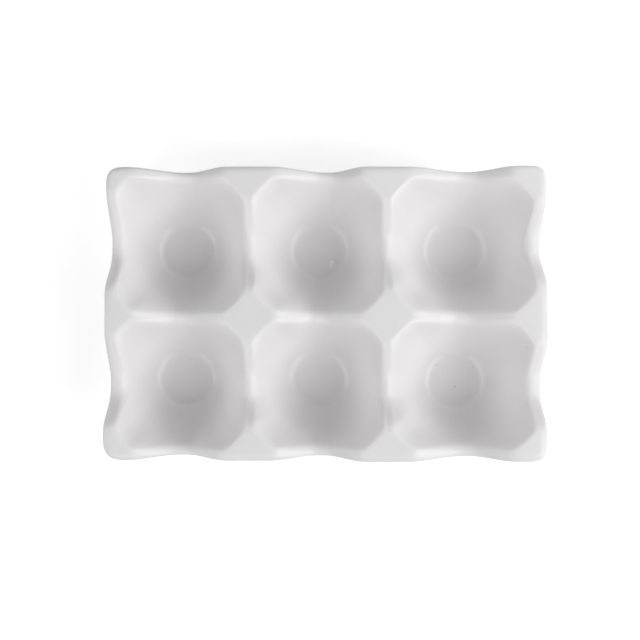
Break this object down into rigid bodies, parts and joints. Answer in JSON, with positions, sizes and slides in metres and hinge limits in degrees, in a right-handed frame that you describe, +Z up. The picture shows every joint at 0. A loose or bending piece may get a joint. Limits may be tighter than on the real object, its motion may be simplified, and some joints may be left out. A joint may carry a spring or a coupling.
{
  "type": "ceramic egg tray",
  "caption": "White glazed ceramic egg tray shaped like an egg carton, with octagonal cups, flat diamond posts and a wavy rim.",
  "frame": {"origin": "middle of the tray's bounding box, on the table", "axes": "+X along the three columns of cups, +Y towards the back row, +Z up"},
  "size_m": [0.1626, 0.1094, 0.038],
  "materials": {
    "white_glaze": "soft gloss white glaze",
    "bare_clay": "unglazed fired clay"
  },
  "bodies": {
    "root": {"cup_front_left": "white_glaze", "cup_front_middle": "white_glaze", "cup_front_right": "white_glaze", "cup_back_left": "white_glaze", "cup_back_middle": "white_glaze", "cup_back_right": "white_glaze", "post_left": "white_glaze", "post_right": "white_glaze", "rim_back": "white_glaze", "rim_front": "white_glaze", "rim_left": "white_glaze", "rim_right": "white_glaze", "foot_front_left": "bare_clay", "foot_front_middle": "bare_clay", "foot_front_right": "bare_clay", "foot_back_left": "bare_clay", "foot_back_middle": "bare_clay", "foot_back_right": "bare_clay"}
  },
  "joints": []
}
